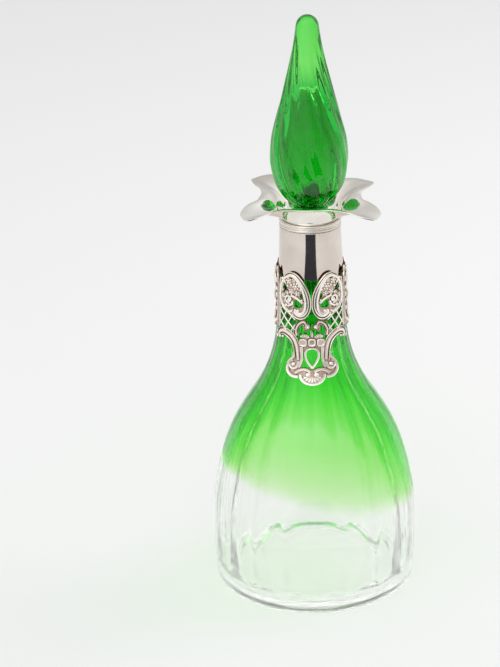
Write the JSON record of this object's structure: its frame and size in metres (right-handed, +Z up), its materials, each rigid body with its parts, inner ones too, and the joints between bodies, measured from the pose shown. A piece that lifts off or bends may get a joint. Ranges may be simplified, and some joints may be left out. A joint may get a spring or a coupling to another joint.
{
  "type": "silver-mounted glass decanter",
  "caption": "Fluted green-to-clear glass decanter with a lobed silver pouring lip, pierced silver collar and a ground hollow glass stopper that lifts out.",
  "frame": {"origin": "middle of the foot, on the table", "axes": "+Z up along the bottle's axis, front pendant of the pierced collar towards -Y"},
  "size_m": [0.1108, 0.1096, 0.3116],
  "materials": {
    "tinted_glass": "clear at the base, fading to rich green at the neck",
    "stopper_glass": "clear green, with a frosted ground plug",
    "plaster": "matt",
    "polished_silver": "polished silver",
    "pierced_silver": "chased silver with dark recesses"
  },
  "bodies": {
    "bottle": {"glass_bottle": "tinted_glass", "neck_bedding": "plaster", "neck_sleeve": "polished_silver", "lip_ring": "polished_silver", "lip": "polished_silver", "pierced_panel_front": "pierced_silver", "pierced_panel_back": "pierced_silver", "pierced_side_left": "pierced_silver", "pierced_side_right": "pierced_silver"},
    "stopper": {"stopper": "stopper_glass"}
  },
  "joints": [
    {"name": "stopper_lift", "type": "slide", "parent": "bottle", "child": "stopper", "axis": [0, 0, 1], "range_m": [0, 0.05]}
  ]
}
